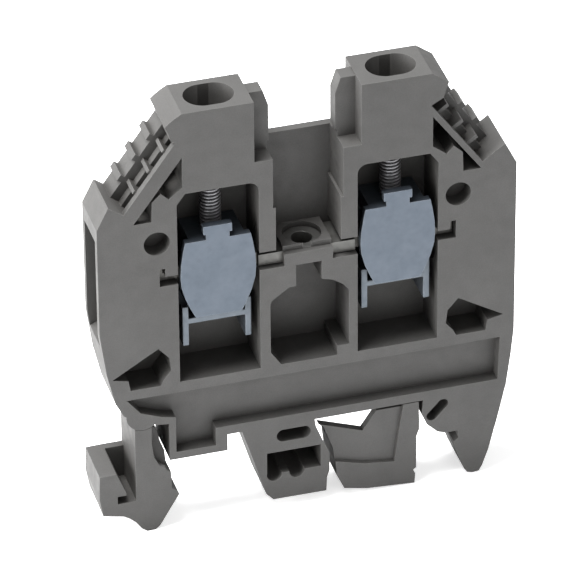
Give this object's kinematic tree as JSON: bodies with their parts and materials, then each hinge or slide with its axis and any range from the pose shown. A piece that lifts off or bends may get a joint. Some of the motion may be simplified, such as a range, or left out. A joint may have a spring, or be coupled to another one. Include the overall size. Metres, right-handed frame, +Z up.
{
  "type": "din rail terminal block",
  "caption": "Open-sided moulded terminal block for a 35 mm rail, with a screw clamp in each tower joined by a current bar, and a hooked foot that flexes to let go of the rail.",
  "frame": {"origin": "middle of the housing's length and thickness, level with the top of the rail's flanges", "axes": "+X from the hooked, flexing end to the fixed end; +Y through the thickness to the closed back wall, along the rail; +Z up, away from the rail"},
  "size_m": [0.0506, 0.0082, 0.0568],
  "materials": {
    "housing_plastic": "moulded polyamide, fine matt grain",
    "tinned_bar": "dull tin plate on copper",
    "zinc_steel": "blue-passivated zinc plate, satin",
    "screw_steel": "zinc-plated steel, darker than the yoke",
    "guard_sheet": "zinc-plated thin sheet"
  },
  "bodies": {
    "housing": {"housing": "housing_plastic", "current_bar": "tinned_bar"},
    "latch_foot": {"latch_foot": "housing_plastic"},
    "spring_foot": {"spring_foot": "housing_plastic"},
    "left_screw": {"left_screw": "screw_steel"},
    "right_screw": {"right_screw": "screw_steel"},
    "left_yoke": {"left_yoke": "zinc_steel"},
    "right_yoke": {"right_yoke": "zinc_steel"},
    "left_wire_guard": {"left_wire_guard": "guard_sheet"},
    "right_wire_guard": {"right_wire_guard": "guard_sheet"}
  },
  "joints": [
    {"name": "latch_flex", "type": "hinge", "parent": "housing", "child": "latch_foot", "pos_m": [-0.0201, 0, 0.0099], "axis": [0, 1, 0], "range_deg": [-1, 8], "stiffness_Nm_per_rad": 0.05},
    {"name": "spring_flex", "type": "hinge", "parent": "housing", "child": "spring_foot", "pos_m": [0.0123, 0, 0.0047], "axis": [0, 1, 0], "range_deg": [-2, 3], "stiffness_Nm_per_rad": 0.05},
    {"name": "left_screw_turn", "type": "hinge", "parent": "housing", "child": "left_screw", "pos_m": [-0.01075, 0, 0.041], "axis": [0, 0, 1], "range_deg": [-2720, 880]},
    {"name": "right_screw_turn", "type": "hinge", "parent": "housing", "child": "right_screw", "pos_m": [0.01075, 0, 0.041], "axis": [0, 0, 1], "range_deg": [-2320, 1200]},
    {"name": "left_yoke_lift", "type": "slide", "parent": "housing", "child": "left_yoke", "axis": [0, 0, 1], "range_m": [-0.0011, 0.0034]},
    {"name": "right_yoke_lift", "type": "slide", "parent": "housing", "child": "right_yoke", "axis": [0, 0, 1], "range_m": [-0.0015, 0.0029]},
    {"name": "left_guard_float", "type": "slide", "parent": "left_yoke", "child": "left_wire_guard", "axis": [0, 0, 1], "range_m": [0, 0.00055]},
    {"name": "right_guard_float", "type": "slide", "parent": "right_yoke", "child": "right_wire_guard", "axis": [0, 0, 1], "range_m": [-0.00055, 0]}
  ],
  "couplings": [
    {"joint": "left_screw_turn", "follows": "left_yoke_lift", "rad_per_m": -13963},
    {"joint": "right_screw_turn", "follows": "right_yoke_lift", "rad_per_m": -13963}
  ]
}
